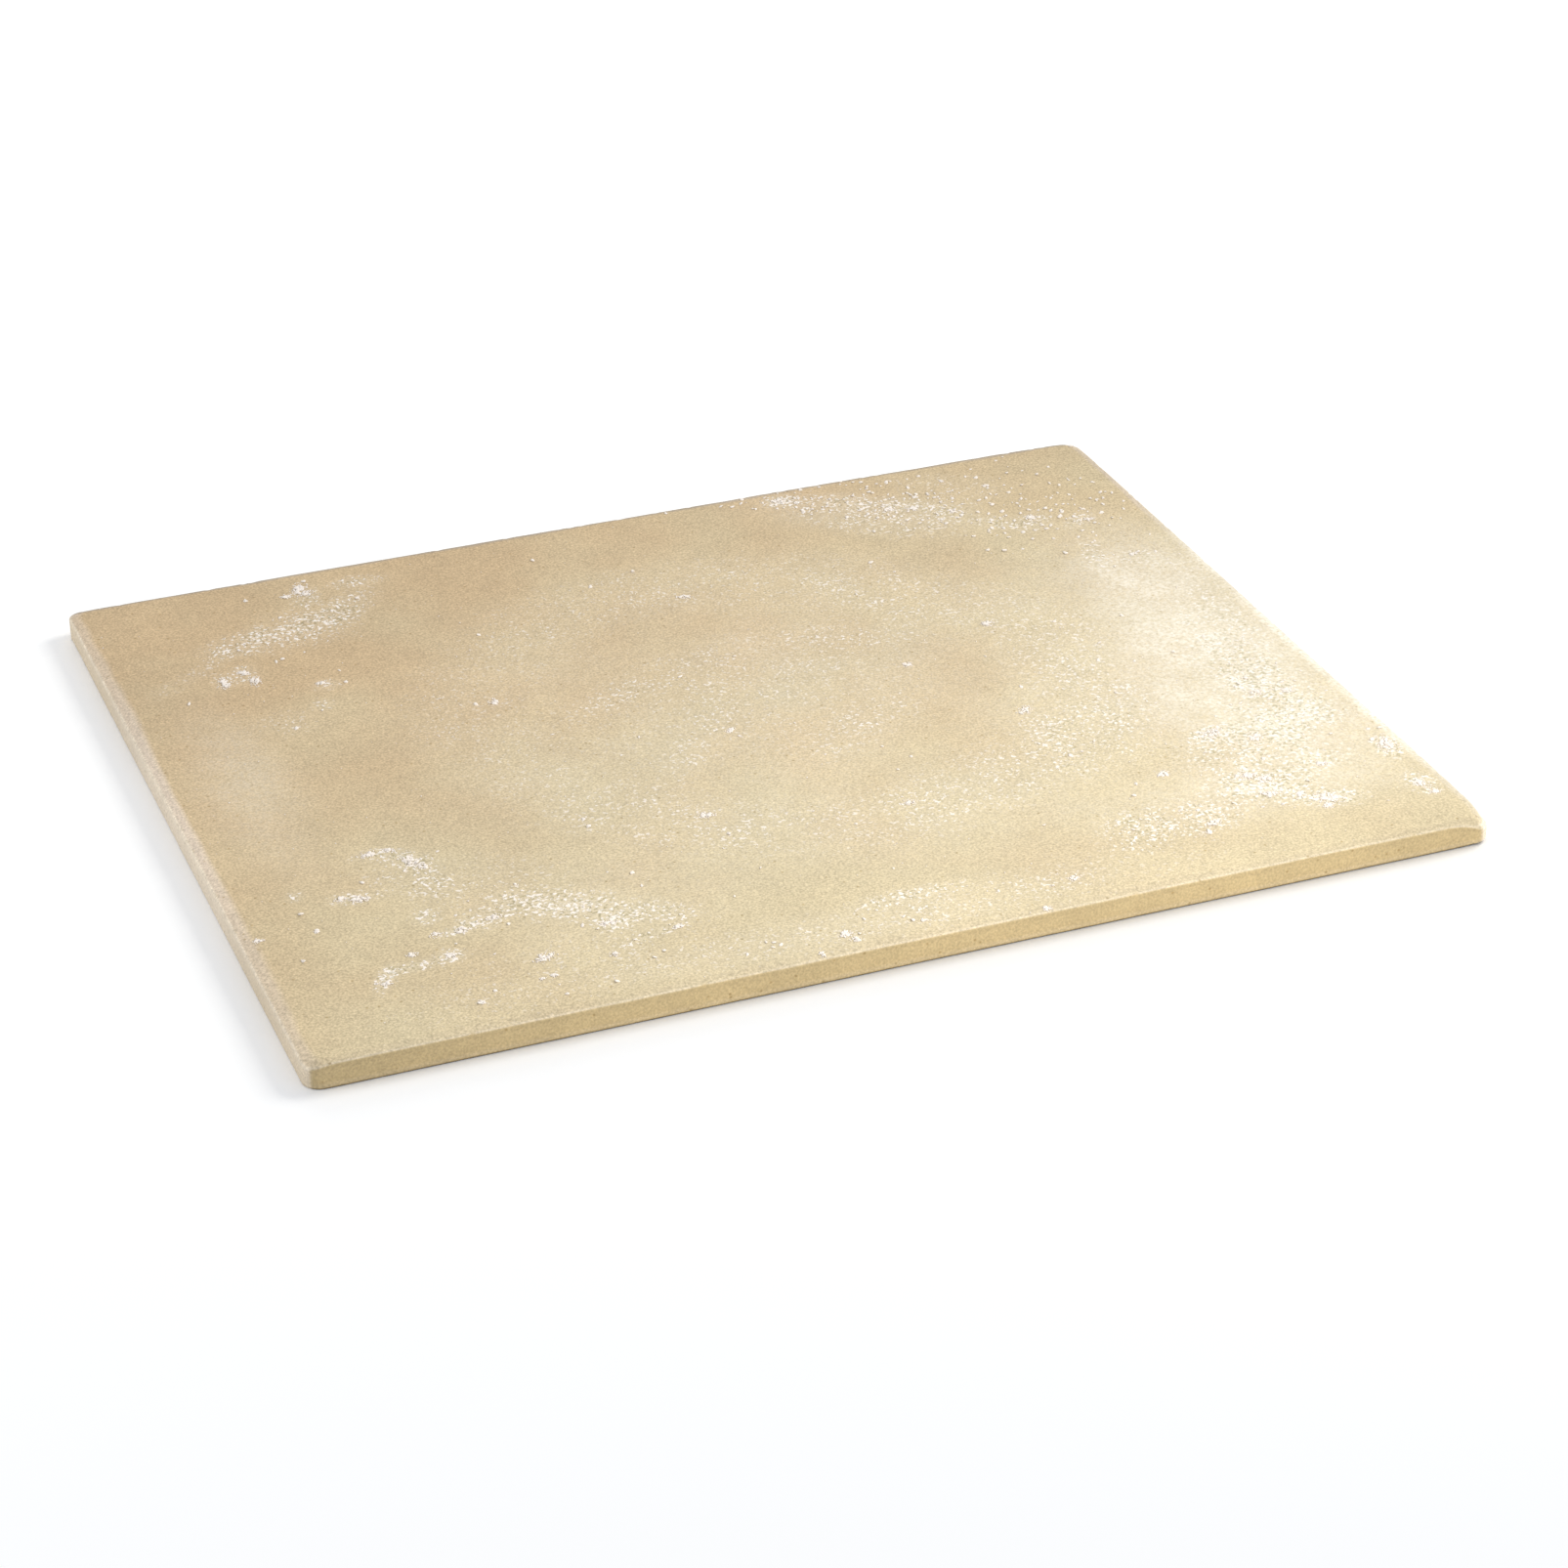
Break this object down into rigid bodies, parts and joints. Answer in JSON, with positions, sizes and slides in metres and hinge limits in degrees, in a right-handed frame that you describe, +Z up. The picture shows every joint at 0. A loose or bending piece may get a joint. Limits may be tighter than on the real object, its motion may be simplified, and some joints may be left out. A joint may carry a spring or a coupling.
{
  "type": "pizza stone",
  "caption": "Rectangular fired-cordierite baking plate with rounded corners and a shallow bevel all round its flat baking face.",
  "frame": {"origin": "middle of the flat underside", "axes": "+X along the long side, +Y along the short side towards the back, +Z up, out of the baking face"},
  "size_m": [0.43, 0.35, 0.01],
  "materials": {
    "cordierite": "unglazed fired cordierite, matt, fine sandy grain, warm beige"
  },
  "bodies": {
    "root": {"stone_slab": "cordierite"}
  },
  "joints": []
}
